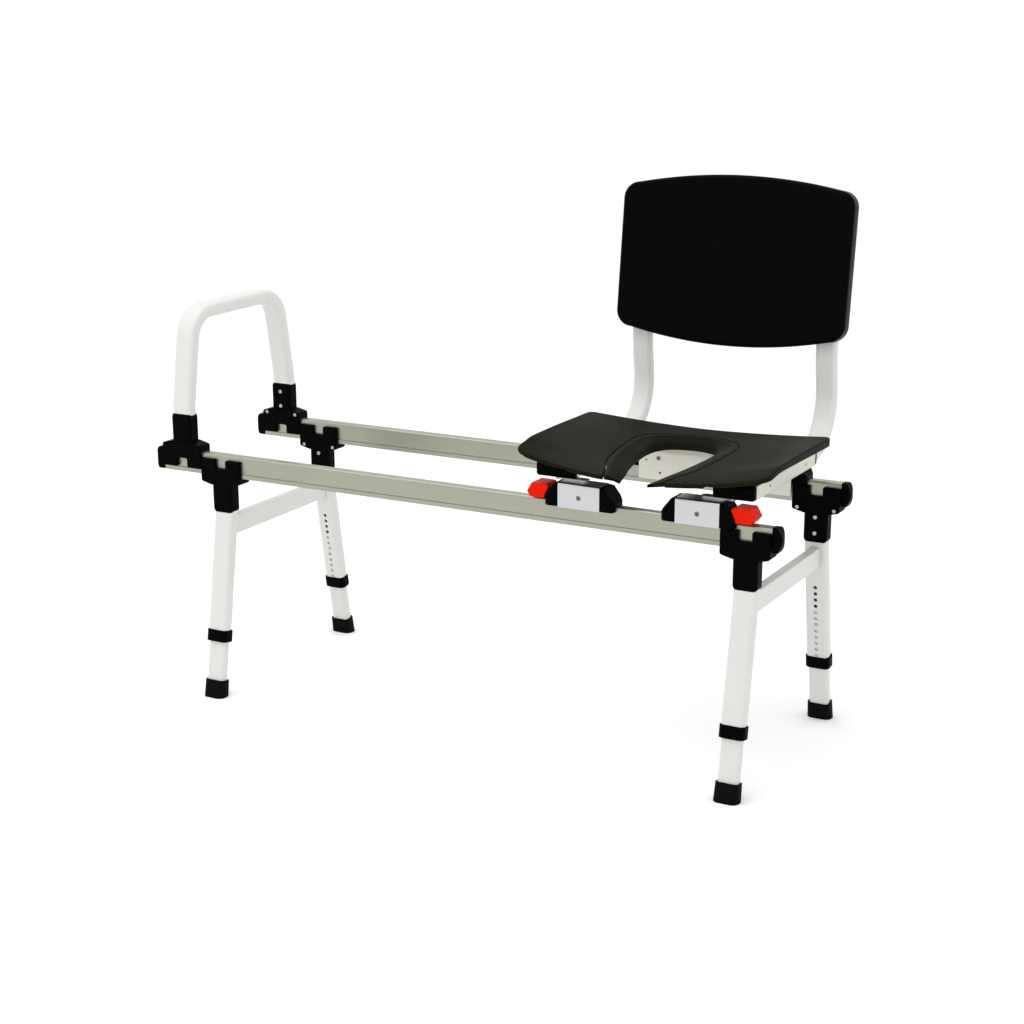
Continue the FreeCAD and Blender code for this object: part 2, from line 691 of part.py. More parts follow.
# ---- seat: dished pad with a front opening, edged by a separate moulded rim ----
def blend(table, t):
    """Smooth value from a table of (place, value) pairs."""
    for (t0, v0), (t1, v1) in zip(table, table[1:]):
        if t <= t1:
            k = max(0.0, min(1.0, (t - t0) / (t1 - t0)))
            return v0 + (v1 - v0) * k
    return table[-1][1]


centre_line = ((-215.0, 532.0), (-207.0, 534.5), (-185.0, 537.0), (-150.0, 540.0), (-128.0, 541.5), (-60.0, 546.0),
               (0.0, 549.0), (40.0, 551.0), (70.0, 554.0), (108.0, 560.0), (120.0, 562.5))
edge_line = ((-215.0, 553.0), (-188.0, 559.5), (-170.0, 563.0), (-150.0, 567.0), (-128.0, 571.0), (-60.0, 571.8),
             (0.0, 571.5), (108.0, 570.0), (120.0, 570.0))
centre_under = ((-215.0, 525.5), (-207.0, 526.5), (-150.0, 529.5), (-60.0, 532.0), (0.0, 533.5), (50.0, 537.0),
                (108.0, 544.0), (120.0, 545.5))
edge_under = ((-215.0, 547.0), (-185.0, 552.0), (-160.0, 556.0), (-128.0, 559.0), (-47.0, 557.5), (35.0, 555.5),
              (108.0, 554.0), (120.0, 554.0))
rim_under = ((-215.0, 526.0), (-207.0, 527.0), (-150.0, 529.0), (-100.0, 528.0), (-60.0, 526.5), (0.0, 526.0),
             (50.0, 529.0), (108.0, 536.0), (120.0, 537.5))
bowl = ((-215.0, 2.0), (-188.0, 2.1), (-128.0, 2.5), (0.0, 2.2), (108.0, 1.9), (120.0, 1.9))
under_bowl = ((-215.0, 1.9), (120.0, 1.9))


def seat_height(w, y, middle, side, power):
    low = blend(middle, y)
    high = blend(side, y)
    return low + (high - low) * (abs(w) / seat_half) ** blend(power, y)


def seat_face(middle, side, power, drop):
    rows = []
    for i in range(15):
        w = -248.0 + 496.0 * i / 14.0
        rows.append([vec(seat_x + w, y, seat_height(w, y, middle, side, power) - drop) for y in
                     (-215, -195, -175, -150, -120, -80, -40, 0, 40, 80, 120)])
    surface = Part.BSplineSurface()
    surface.interpolate(rows)
    return surface.toShape()


def curve_region(points, z0, z1):
    """Prism over the area inside a symmetric curve that is closed across the front."""
    left = [vec(seat_x - w, y, z0) for w, y in points]
    right = [vec(seat_x + w, y, z0) for w, y in reversed(points[:-1])]
    curve = Part.BSplineCurve()
    curve.interpolate(left + right)
    closing = Part.LineSegment(right[-1], left[0]).toShape()
    return Part.Face(Part.Wire([curve.toShape(), closing])).extrude(Z * (z1 - z0))


rim_outer = ((50.0, -222.0), (56.0, -205.0), (70.0, -166.0), (86.0, -128.0), (95.5, -70.0), (99.5, -10.0), (97.0, 24.0),
             (83.0, 48.0), (55.0, 63.0), (28.0, 69.0), (0.0, 71.0))
rim_inner = ((21.0, -222.0), (25.0, -205.0), (34.0, -162.0), (45.0, -120.0), (57.0, -65.0), (62.5, -15.0), (60.0, 12.0),
             (50.0, 32.0), (35.0, 43.0), (17.0, 48.5), (0.0, 50.0))

corner_y = -188.0
front_arc = Part.Arc(vec(seat_x + seat_half, corner_y, 480), vec(seat_x, seat_front, 480), vec(seat_x - seat_half, corner_y, 480))
seat_sides = [Part.LineSegment(vec(seat_x - seat_half, corner_y, 480), vec(seat_x - seat_half, seat_back, 480)),
              Part.LineSegment(vec(seat_x - seat_half, seat_back, 480), vec(seat_x + seat_half, seat_back, 480)),
              Part.LineSegment(vec(seat_x + seat_half, seat_back, 480), vec(seat_x + seat_half, corner_y, 480))]
seat_outline = Part.Wire([front_arc.toShape()] + [s.toShape() for s in seat_sides])
seat_prism = Part.Face(seat_outline).extrude(Z * 140)
seat_prism = soften(seat_prism, 18.0, lambda e: e.BoundBox.ZLength > 100 and e.BoundBox.YMax < 0)
seat_prism = soften(seat_prism, 12.0, lambda e: e.BoundBox.ZLength > 100 and e.BoundBox.YMin > seat_back - 0.1)


def seat_slab(top_drop, middle_under):
    upper = seat_face(centre_line, edge_line, bowl, top_drop).extrude(Z * -60)
    lower = seat_face(middle_under, edge_under, under_bowl, 0.0).extrude(Z * 60)
    return upper.common(lower).common(seat_prism)


pad = seat_slab(0.0, centre_under).cut(curve_region(rim_outer, 470, 640))
# the moulding is relieved where the side members and their caps pass under it
for way in (-1, 1):
    a = member_in - 0.6 if way > 0 else -member_out - 0.6
    over = block(seat_x + a, seat_x + a + member_out - member_in + 1.2, member_front - member_cap - 1.5,
                 member_back + member_cap + 1.5, member_bottom, member_bottom + member_high + 0.3)
    pad = pad.cut(over)
save("seat_pad", pad)
narrow = tuple((w - 0.9, y - (0.9 if w < 1 else 0.6 if y > 40 else 0.0)) for w, y in rim_outer[:-1]) + ((0.0, 70.1),)
rim = seat_slab(1.5, rim_under).common(curve_region(narrow, 470, 640)).cut(curve_region(rim_inner, 470, 640))
save("opening_rim", rim)

under = seat_face(centre_under, edge_under, under_bowl, 0.0).extrude(Z * -80.0)
mounts = []
for way in (-1, 1):
    a = 138.0 if way > 0 else -196.0
    rib = block(seat_x + a, seat_x + a + 58, -150, 98, member_bottom + member_high, 575)
    mounts.append(rib.common(under))
save("seat_mounts", group(mounts))


# ---- backrest: a slightly hollow upright panel screwed to two bent tubes ----
def panel_place(shape):
    shape.rotate(vec(0, 0, 0), X, -math.degrees(panel_tilt))
    shape.translate(vec(seat_x, panel_bottom_y, panel_bottom_z))
    return shape


def panel():
    rows = []
    for i in range(9):
        w = -240.0 + 60.0 * i
        deep = 6.0 * (1.0 - (w / panel_half) ** 2)
        rows.append([vec(w, deep, v) for v in (-20.0, 80.0, 160.0, 240.0, 330.0)])
    surface = Part.BSplineSurface()
    surface.interpolate(rows)
    slab = surface.toShape().extrude(Y * 60)
    top = Part.Arc(vec(-panel_half, -20, panel_high - 25.5), vec(0, -20, panel_high), vec(panel_half, -20, panel_high - 25.5))
    low = Part.Arc(vec(panel_half, -20, 29), vec(0, -20, 0), vec(-panel_half, -20, 29))
    right = Part.LineSegment(vec(panel_half, -20, panel_high - 25.5), vec(panel_half, -20, 29))
    left = Part.LineSegment(vec(-panel_half, -20, 29), vec(-panel_half, -20, panel_high - 25.5))
    wire = Part.Wire([top.toShape(), right.toShape(), low.toShape(), left.toShape()])
    prism = Part.Face(wire).extrude(Y * (panel_thick + 20))
    prism = soften(prism, 30.0, lambda e: e.BoundBox.YLength > 40)
    return slab.common(prism)


back_screw_v = (65.0, 205.0)
tube_n = panel_thick + 0.3 + back_y / 2
panel_shape = panel()
screw_shapes = []
for way in (-1, 1):
    for v in back_screw_v:
        panel_shape = panel_shape.cut(rod(2.4, 30, vec(way * back_w, tube_n - 27, v), Y))
        head = rod(5.0, 3.0, vec(way * back_w, tube_n + back_y / 2, v), Y)
        head = soften(head, 1.4, lambda e: e.BoundBox.YMin > tube_n + back_y / 2 + 2.9)
        shank = rod(2.2, 34, vec(way * back_w, tube_n + back_y / 2 - 33.5, v), Y)
        screw_shapes.append(panel_place(head.fuse(shank).removeSplitter()))
save("backrest_panel", panel_place(panel_shape))
save("backrest_screws", group(screw_shapes))

axis_z = member_bottom + member_high / 2
rise = math.tan(panel_tilt)
back_line_y = panel_bottom_y + tube_n / math.cos(panel_tilt)
lumbar_z = 700.5
lumbar_y = back_line_y + (lumbar_z - panel_bottom_z) * rise
lean = math.radians(8.0)
low_y = lumbar_y + (lumbar_z - axis_z) * math.tan(lean)
top_z = 938.0


def back_tube(way):
    x = seat_x + way * back_w
    pts = [vec(x, 14, axis_z), vec(x, low_y, axis_z), vec(x, lumbar_y, lumbar_z),
           vec(x, lumbar_y + (top_z - lumbar_z) * rise, top_z)]
    shape = tube(pts, [92.0, 250.0], back_x, back_y, back_round, 1.8)
    for v in back_screw_v:
        shape = shape.cut(panel_place(rod(2.6, 60, vec(way * back_w, tube_n - 30, v), Y)))
    return shape


def tube_plug(way):
    x = seat_x + way * back_w
    up = vec(0, math.sin(panel_tilt), math.cos(panel_tilt))
    out = vec(0, math.cos(panel_tilt), -math.sin(panel_tilt))
    end = vec(x, lumbar_y + (top_z - lumbar_z) * rise, top_z)
    head = Part.Face(section(end, back_x, back_y, back_round, X, out)).extrude(up * 4)
    head = soften(head, 2.0, lambda e: (e.CenterOfMass - end).dot(up) > 3.9)
    plug = Part.Face(section(end - up * 14, back_x - 4.0, back_y - 4.0, back_round - 2.0, X, out)).extrude(up * 14.5)
    return head.fuse(plug).removeSplitter()


save("back_tube_left", back_tube(-1))
save("back_tube_right", back_tube(1))
save("back_tube_plugs", group([tube_plug(-1), tube_plug(1)]))
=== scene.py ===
import bpy
import numpy as np
from mathutils import Matrix, Vector


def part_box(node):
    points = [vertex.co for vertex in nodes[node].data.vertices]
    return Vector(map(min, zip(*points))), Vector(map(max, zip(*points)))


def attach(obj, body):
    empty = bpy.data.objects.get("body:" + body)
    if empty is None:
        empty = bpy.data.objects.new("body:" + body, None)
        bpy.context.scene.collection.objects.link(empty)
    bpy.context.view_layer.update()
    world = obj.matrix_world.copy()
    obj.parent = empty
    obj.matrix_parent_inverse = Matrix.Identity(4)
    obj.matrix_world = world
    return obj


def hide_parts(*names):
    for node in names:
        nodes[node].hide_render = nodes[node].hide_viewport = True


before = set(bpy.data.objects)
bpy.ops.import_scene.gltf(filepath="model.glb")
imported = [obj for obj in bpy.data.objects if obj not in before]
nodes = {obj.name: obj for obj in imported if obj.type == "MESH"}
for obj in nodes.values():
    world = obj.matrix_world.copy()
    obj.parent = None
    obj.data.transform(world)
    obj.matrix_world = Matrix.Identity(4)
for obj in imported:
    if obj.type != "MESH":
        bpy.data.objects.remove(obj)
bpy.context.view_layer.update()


# ---- the two rails ----
# Extruded aluminium, about 1.26 m long, satin anodised with a faint warm tint.
# The die leaves fine lines along the length, which catch the light as soft streaks.
def linear(code):
    """sRGB hex to linear RGBA: the power curve above 0.04045, the straight part below."""
    c = np.array([int(code[i:i + 2], 16) for i in (1, 3, 5)]) / 255.0
    c = np.where(c <= 0.04045, c / 12.92, ((c + 0.055) / 1.055) ** 2.4)
    return (*c.tolist(), 1.0)


def add(tree, kind, links, **settings):
    """Adds a node; settings are its properties, links are its sockets as values or (node, output) pairs."""
    made = tree.nodes.new(kind)
    for name, value in settings.items():
        setattr(made, name, value)
    for socket, value in links.items():
        if isinstance(value, tuple) and len(value) == 2 and hasattr(value[0], "outputs"):
            tree.links.new(value[0].outputs[value[1]], made.inputs[socket])
        else:
            made.inputs[socket].default_value = value
    return made


def material(name):
    """An empty material with only its output, ready for its own nodes."""
    made = bpy.data.materials.new(name)
    made.use_nodes = True
    tree = made.node_tree
    tree.nodes.clear()
    return made, tree, add(tree, "ShaderNodeOutputMaterial", {})


def dress(made, *names):
    """Puts a material on CAD nodes."""
    for name in names:
        for place in nodes[name].material_slots:
            place.material = made


def extrusion(name, tone, dark, rough, streak):
    """Anodised extrusion: two near tones and the roughness drift across streaks drawn out along X."""
    made, tree, out = material(name)
    where = add(tree, "ShaderNodeTexCoord", {})
    # die lines are about 0.1 mm apart; 1.2 mm is as fine as shows
    drawn = add(tree, "ShaderNodeMapping", {"Vector": (where, "Object"), "Scale": (3.0, 830.0, 830.0)})
    lines = add(tree, "ShaderNodeTexNoise", {"Vector": (drawn, "Vector"), "Scale": 1.0, "Detail": 3.0,
                                             "Roughness": 0.6})
    broad = add(tree, "ShaderNodeTexNoise", {"Vector": (where, "Object"), "Scale": 9.0, "Detail": 2.0})
    mixed = add(tree, "ShaderNodeMath", {0: (lines, "Fac"), 1: (broad, "Fac")}, operation="MULTIPLY")
    colour = add(tree, "ShaderNodeMix", {"Factor": (mixed, "Value"), 6: linear(tone), 7: linear(dark)},
                 data_type="RGBA")
    satin = add(tree, "ShaderNodeMapRange", {"Value": (lines, "Fac"), "To Min": rough - 0.05, "To Max": rough + 0.08})
    relief = add(tree, "ShaderNodeBump", {"Height": (lines, "Fac"), "Strength": streak, "Distance": 0.0003})
    shader = add(tree, "ShaderNodeBsdfPrincipled", {"Base Color": (colour, 2), "Metallic": 1.0,
                                                    "Roughness": (satin, "Result"), "Normal": (relief, "Normal")})
    tree.links.new(shader.outputs["BSDF"], out.inputs["Surface"])
    return made


anodised_rail = extrusion("anodised aluminium, warm satin", "#A3A397", "#959588", 0.34, 0.12)
dress(anodised_rail, "front_rail", "rear_rail")


# ---- brackets, rail caps and collars ----
# Glass-filled nylon, injection moulded in black with a fine spark-eroded grain.
# Each bracket is two halves screwed together round the rail and the tube's end.
def moulded(name, tone, lit, rough, level, grain, depth):
    """Moulded plastic: a fine grain in the relief, and a slow drift of tone and roughness."""
    made, tree, out = material(name)
    where = add(tree, "ShaderNodeTexCoord", {})
    fine = add(tree, "ShaderNodeTexNoise", {"Vector": (where, "Object"), "Scale": 1.0 / grain, "Detail": 4.0,
                                            "Roughness": 0.65})
    slow = add(tree, "ShaderNodeTexNoise", {"Vector": (where, "Object"), "Scale": 16.0, "Detail": 3.0})
    colour = add(tree, "ShaderNodeMix", {"Factor": (slow, "Fac"), 6: linear(tone), 7: linear(lit)}, data_type="RGBA")
    satin = add(tree, "ShaderNodeMapRange", {"Value": (slow, "Fac"), "From Min": 0.3, "From Max": 0.7,
                                             "To Min": rough - 0.06, "To Max": rough + 0.06})
    relief = add(tree, "ShaderNodeBump", {"Height": (fine, "Fac"), "Strength": 0.35, "Distance": depth})
    shader = add(tree, "ShaderNodeBsdfPrincipled", {"Base Color": (colour, 2), "Roughness": (satin, "Result"),
                                                    "Specular IOR Level": level, "Normal": (relief, "Normal")})
    tree.links.new(shader.outputs["BSDF"], out.inputs["Surface"])
    return made


# spark grain is about 0.15 mm; 0.8 mm is as fine as shows
black_nylon = moulded("glass-filled nylon, black", "#020202", "#040404", 0.42, 0.02, 0.0008, 0.0001)
dress(black_nylon, "rail_end_caps", "leg_collars", "member_caps", "end_pieces_plain", "end_pieces_lock",
      "back_tube_plugs")
for name in nodes:
    if "_bracket_" in name:
        dress(black_nylon, name)


# ---- screws ----
# Stainless steel pan heads and socket heads, turned and tumbled bright.
# Each is driven from the side that faces the middle of the bench.
made, tree, out = material("stainless steel, tumbled")
where = add(tree, "ShaderNodeTexCoord", {})
marks = add(tree, "ShaderNodeTexNoise", {"Vector": (where, "Object"), "Scale": 600.0, "Detail": 2.0})
satin = add(tree, "ShaderNodeMapRange", {"Value": (marks, "Fac"), "To Min": 0.18, "To Max": 0.36})
shader = add(tree, "ShaderNodeBsdfPrincipled", {"Base Color": linear("#B4B3AF"), "Metallic": 1.0,
                                                "Roughness": (satin, "Result")})
tree.links.new(shader.outputs["BSDF"], out.inputs["Surface"])
stainless = made
dress(stainless, "bracket_screws", "backrest_screws")


# ---- legs, braces, grab handle and back tubes ----
# Rounded steel and aluminium tube under white powder coat, baked to a soft gloss.
# The coat has a faint orange peel and stands slightly cooler where it is thin.
made, tree, out = material("powder coat, white")
where = add(tree, "ShaderNodeTexCoord", {})
# orange peel runs 1.5 to 3 mm from crest to crest
peel = add(tree, "ShaderNodeTexNoise", {"Vector": (where, "Object"), "Scale": 420.0, "Detail": 1.5})
slow = add(tree, "ShaderNodeTexNoise", {"Vector": (where, "Object"), "Scale": 7.0, "Detail": 2.0})
colour = add(tree, "ShaderNodeMix", {"Factor": (slow, "Fac"), 6: linear("#D2D3D0"), 7: linear("#CDCECA")},
             data_type="RGBA")
relief = add(tree, "ShaderNodeBump", {"Height": (peel, "Fac"), "Strength": 0.12, "Distance": 0.0004})
shader = add(tree, "ShaderNodeBsdfPrincipled", {"Base Color": (colour, 2), "Roughness": 0.38,
                                                "Normal": (relief, "Normal")})
tree.links.new(shader.outputs["BSDF"], out.inputs["Surface"])
powder_coat = made
dress(powder_coat, "grab_handle", "back_tube_left", "back_tube_right", "leg_brace_left", "leg_brace_right")
for name in nodes:
    if name.startswith("leg_outer_tube") or name.startswith("leg_inner_tube"):
        dress(powder_coat, name)


# ---- height buttons ----
# Spring steel leaf folded inside the inner tube, with a bright plated button on it.
# Only the button's crown shows, through the seventh hole from the top.
made, tree, out = material("plated spring steel")
where = add(tree, "ShaderNodeTexCoord", {})
marks = add(tree, "ShaderNodeTexNoise", {"Vector": (where, "Object"), "Scale": 380.0, "Detail": 2.0})
satin = add(tree, "ShaderNodeMapRange", {"Value": (marks, "Fac"), "To Min": 0.2, "To Max": 0.38})
shader = add(tree, "ShaderNodeBsdfPrincipled", {"Base Color": linear("#B9BABA"), "Metallic": 1.0,
                                                "Roughness": (satin, "Result")})
tree.links.new(shader.outputs["BSDF"], out.inputs["Surface"])
for name in nodes:
    if name.startswith("snap_clip"):
        dress(made, name)


# ---- foot tips ----
# Moulded black rubber with a flared skirt, pushed over the inner tubes' ends.
# Rubber is duller than the nylon above it and has a dusty bloom.
black_rubber = moulded("natural rubber, black", "#070707", "#0B0B0A", 0.62, 0.04, 0.0011, 0.0002)
for name in nodes:
    if name.startswith("foot_tip"):
        dress(black_rubber, name)


# ---- carriages ----
# Brighter anodised covers over white acetal glides, closed by black nose pieces.
# The covers are cut from extrusion, so their lines run along the rail too.
anodised_cover = extrusion("anodised aluminium, bright satin", "#C4C5C6", "#BABBBD", 0.3, 0.12)
# The covers' socket-head screws are plain steel under dull zinc, greyer than the stainless ones.
zinc = extrusion("zinc-plated steel, dull", "#77756F", "#5E5C57", 0.32, 0.05)
dress(zinc, "carriage_screws")
dress(anodised_cover, "carriage_cover_front_left", "carriage_cover_front_right", "carriage_cover_rear",
      "carriage_spacers")
acetal = moulded("acetal, natural white", "#DAD9D2", "#E4E3DD", 0.35, 0.5, 0.0012, 0.0001)
dress(acetal, "carriage_glides")

# Red nylon pull tabs of the seat lock, sliding outwards along the rail.
# Flat facets with small radii, moulded in one piece with the shank.
red_nylon = moulded("nylon, signal red", "#D01803", "#DA1E05", 0.34, 0.04, 0.0012, 0.0001)
dress(red_nylon, "lock_tab_left", "lock_tab_right")


# ---- seat frame ----
# Side members and rear angle in plain satin aluminium with the rails' warm tint.
# The members slide over the spacers and carry the seat's moulded feet.
anodised_frame = extrusion("anodised aluminium, pale satin", "#CCCBC0", "#C0BFB4", 0.34, 0.12)
dress(anodised_frame, "side_member_left", "side_member_right", "rear_support_angle", "seat_cross_bar")


# ---- seat pad ----
# Integral-skin polyurethane, dark olive grey, dished and rolled down at the front.
# It is one moulding, open at the front, on two ribs over the side members.
def skin(name, grid, made, closed_along=False):
    """Closed mesh over rings of points: neighbours joined by quads, each ring closed, the ends capped or joined."""
    along, round_, _ = grid.shape
    spot = np.arange(along * round_).reshape(along, round_)
    nearer = spot if closed_along else spot[:-1]
    farther = np.roll(spot, -1, axis=0) if closed_along else spot[1:]
    quads = np.stack([nearer, farther, np.roll(farther, -1, axis=1), np.roll(nearer, -1, axis=1)], -1).reshape(-1, 4)
    points = grid.reshape(-1, 3)
    a, b, c, d = (points[quads[:, k]] for k in range(4))
    volume = np.einsum("ij,ij->i", a, np.cross(b, c)).sum() + np.einsum("ij,ij->i", a, np.cross(c, d)).sum()
    faces = quads.tolist()
    if not closed_along:
        faces += [spot[0].tolist(), spot[-1][::-1].tolist()]
    if volume < 0:
        faces = [face[::-1] for face in faces]
    mesh = bpy.data.meshes.new(name)
    mesh.from_pydata(points.tolist(), [], faces)
    mesh.polygons.foreach_set("use_smooth", [len(face) == 4 for face in faces])
    mesh.materials.append(made)
    mesh.update()
    piece = bpy.data.objects.new(name, mesh)
    bpy.context.scene.collection.objects.link(piece)
    return piece


def spaced(points, count, crowd=None):
    """Points spread along a polyline by its length, evenly or at the given fractions."""
    run = np.concatenate([[0.0], np.cumsum(np.linalg.norm(np.diff(points, axis=0), axis=1))])
    at = (np.linspace(0, 1, count) if crowd is None else crowd) * run[-1]
    return np.stack([np.interp(at, run, points[:, k]) for k in range(2)], 1)


def curve(points, count):
    """Smooth curve through points: each span is a cubic whose end slopes are the chords of the neighbours."""
    p = np.asarray(points, float)
    slope = np.gradient(p, axis=0)
    t = np.linspace(0, len(p) - 1, count)
    i = np.minimum(t.astype(int), len(p) - 2)
    k = (t - i)[:, None]
    return ((1 + 2 * k) * (1 - k) ** 2 * p[i] + k * (1 - k) ** 2 * slope[i]
            + k * k * (3 - 2 * k) * p[i + 1] + k * k * (k - 1) * slope[i + 1])


def corner(x, y, r, start, turn, count=9):
    """Arc of a rounded corner about (x, y), from one angle through a turn, in degrees."""
    a = np.radians(start + turn * np.linspace(0, 1, count))
    return np.stack([x + r * np.cos(a), y + r * np.sin(a)], 1)


low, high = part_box("seat_pad")
seat_mid = (low.x + high.x) / 2 * 1000
seat_half = (high.x - low.x) / 2 * 1000
seat_back = high.y * 1000
# heights are set out over the distance forward from the seat's back edge
forward = np.array([-12.0, 0.0, 38.0, 68.0, 108.0, 168.0, 236.0, 258.0, 293.0, 315.0, 323.0])
middle_z = np.array([562.5, 560.0, 554.0, 551.0, 549.0, 546.0, 541.5, 540.0, 537.0, 534.5, 532.0])
side_z = np.array([570.0, 570.0, 570.4, 570.9, 571.5, 571.8, 571.0, 567.0, 561.0, 555.5, 553.0])
under_middle_z = np.array([545.5, 544.0, 540.0, 537.0, 533.8, 532.0, 530.2, 529.5, 527.8, 526.5, 525.5])
under_side_z = np.array([554.0, 554.0, 554.6, 555.2, 556.4, 557.5, 559.0, 556.8, 552.5, 549.5, 547.0])
bowl = np.array([1.9, 1.9, 2.0, 2.05, 2.2, 2.35, 2.5, 2.4, 2.15, 2.05, 2.0])


def eased(table, ahead):
    """A table read at distances ahead, each bend eased over 16 mm by averaging seven neighbours."""
    return sum(np.interp(ahead + k, forward, table) for k in np.linspace(-8, 8, 7)) / 7


def seat_face(w, y, middle, side, power):
    """Height over the seat: from the middle value to the side value by a power of the distance from the middle."""
    ahead = seat_back - y
    a = eased(middle, ahead)
    return a + (eased(side, ahead) - a) * np.minimum(1.06, np.abs(w) / seat_half) ** power


b = seat_back
rim_line = curve([(0, b - 37), (28, b - 39), (55, b - 45), (83, b - 60), (97, b - 84), (99.5, b - 118), (95.5, b - 178),
                  (86, b - 236), (70, b - 274), (56.5, b - 311)], 160)
front_y = b - 296.0
front_w = np.linspace(seat_half - 22, 62, 40)
edge_line = np.concatenate([[(0.0, b)], corner(seat_half - 12, b - 12, 12, 90, -90),
                            corner(seat_half - 18, front_y + 18, 18, 0, -84),
                            np.stack([front_w, b - 315 + 17.5 * (front_w / seat_half) ** 2], 1)])
# as the path runs round the seat, these are the matching places on the two lines
outer_at = np.array([0.0, 0.33, 0.75, 1.0])
inner_at = np.array([0.0, 0.33, 0.86, 1.0])
step = np.linspace(0, 1, 150)
inner = spaced(rim_line, 0, np.interp(step, outer_at, inner_at))
outer = spaced(edge_line, 0, step)
inner = np.concatenate([(inner * (-1, 1))[:0:-1], inner])
outer = np.concatenate([(outer * (-1, 1))[:0:-1], outer])


def slab(inner, outer, across, top, under, r_in, r_out, r_low):
    """Rings between two lines: over the top, round the outer edge, back underneath and round the inner edge."""
    span = np.linalg.norm(outer - inner, axis=1)[:, None]
    turn = np.radians(np.linspace(0, 90, 6))
    r_in, r_out, r_low = (np.minimum(r, span * 0.3) for r in (r_in, r_out, r_low))
    top_run = r_in + (span - r_in - r_out) * np.linspace(0, 1, across)
    low_run = span - r_low - (span - 2 * r_low) * np.linspace(0, 1, across // 2)
    runs = [(top_run, 1, 0 * top_run), (span - r_out + r_out * np.sin(turn[1:]), 1, r_out * (1 - np.cos(turn[1:]))),
            (span - r_low + r_low * np.cos(turn[:-1]), 0, r_low * (1 - np.sin(turn[:-1]))), (low_run, 0, 0 * low_run),
            (r_low - r_low * np.sin(turn[1:]), 0, r_low * (1 - np.cos(turn[1:]))),
            (r_in - r_in * np.cos(turn[:-1]), 1, r_in * (1 - np.sin(turn[:-1])))]
    rings = []
    for run, upper, inset in runs:
        flat = inner[:, None] + (outer - inner)[:, None] * (run / span)[..., None]
        w, y = flat[..., 0], flat[..., 1]
        height = top(w, y, run, span) - inset if upper else under(w, y) + inset
        rings.append(np.concatenate([flat, height[..., None]], -1))
    return np.concatenate(rings, axis=1)


def placed(grid):
    """From millimetres about the seat's middle line to metres in the frame."""
    return (grid + (seat_mid, 0.0, 0.0)) / 1000.0


def pad_top(w, y, run, span):
    return seat_face(w, y, middle_z, side_z, eased(bowl, seat_back - y))


def pad_under(w, y):
    """Underside, held just above the side members where they pass."""
    height = seat_face(w, y, under_middle_z, under_side_z, 1.9)
    return np.where((np.abs(w) > 127) & (np.abs(w) < 205), np.maximum(height, 537.3), height)


# the skin has a close pebble about 1.5 mm across; its relief is faint
made, tree, out = material("integral-skin polyurethane, olive grey")
where = add(tree, "ShaderNodeTexCoord", {})
pebble = add(tree, "ShaderNodeTexVoronoi", {"Vector": (where, "Object"), "Scale": 620.0}, feature="SMOOTH_F1")
grit = add(tree, "ShaderNodeTexNoise", {"Vector": (where, "Object"), "Scale": 900.0, "Detail": 2.0})
both = add(tree, "ShaderNodeMath", {0: (pebble, "Distance"), 1: (grit, "Fac")}, operation="ADD")
slow = add(tree, "ShaderNodeTexNoise", {"Vector": (where, "Object"), "Scale": 5.0, "Detail": 3.0})
colour = add(tree, "ShaderNodeMix", {"Factor": (slow, "Fac"), 6: linear("#14150D"), 7: linear("#191A11")},
             data_type="RGBA")
satin = add(tree, "ShaderNodeMapRange", {"Value": (slow, "Fac"), "From Min": 0.3, "From Max": 0.7,
                                         "To Min": 0.44, "To Max": 0.54})
relief = add(tree, "ShaderNodeBump", {"Height": (both, "Value"), "Strength": 0.08, "Distance": 0.0002})
shader = add(tree, "ShaderNodeBsdfPrincipled", {"Base Color": (colour, 2), "Roughness": (satin, "Result"),
                                                "Specular IOR Level": 0.03, "Normal": (relief, "Normal")})
tree.links.new(shader.outputs["BSDF"], out.inputs["Surface"])
seat_skin = made

pad = skin("seat_moulding", placed(slab(inner, outer, 64, pad_top, pad_under, 2.0, 3.5, 2.5)), seat_skin)
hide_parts("seat_pad")
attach(pad, "seat_carriage")


# ---- opening rim ----
# A second moulding in the same polyurethane, let into the seat round the opening.
# Its crown meets the seat at a fine joint and falls away towards the hole.
# the rim's own wall hangs below the seat's underside behind the hole
rim_middle_z = np.array([537.5, 536.0, 532.0, 529.0, 526.0, 526.5, 528.2, 529.0, 527.6, 527.0, 526.0])
hole_line = curve([(0, b - 58), (17, b - 59.5), (35, b - 65), (50, b - 76), (60, b - 96), (62.5, b - 123), (57, b - 173),
                   (45, b - 228), (34, b - 270), (25.5, b - 311)], 160)
seam_line = curve([(0, b - 38), (27.5, b - 40), (54.2, b - 45.8), (82, b - 60.6), (96, b - 84.2), (98.4, b - 118),
                   (94.4, b - 178), (84.9, b - 236), (68.9, b - 274), (55.4, b - 311)], 160)
step = np.linspace(0, 1, 90)
hole = spaced(hole_line, 0, step)
seam = spaced(seam_line, 0, step)
hole = np.concatenate([(hole * (-1, 1))[:0:-1], hole])
seam = np.concatenate([(seam * (-1, 1))[:0:-1], seam])


def rim_top(w, y, run, span):
    """Seat height less 0.6 mm, plus a 1 mm crown near the joint, less 7 mm times the square of the way in."""
    inward = 1 - run / span
    seat = seat_face(w, y, middle_z, side_z, eased(bowl, seat_back - y))
    return seat - 0.6 + 1.0 * np.sin(np.pi * np.minimum(1, inward * 2.2)) - 7.0 * inward ** 2


def rim_under(w, y):
    return seat_face(w, y, rim_middle_z, under_side_z, 1.9)


rim = skin("opening_moulding", placed(slab(hole, seam, 22, rim_top, rim_under, 3.5, 1.6, 1.5)), seat_skin)
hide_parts("opening_rim")
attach(rim, "seat_carriage")

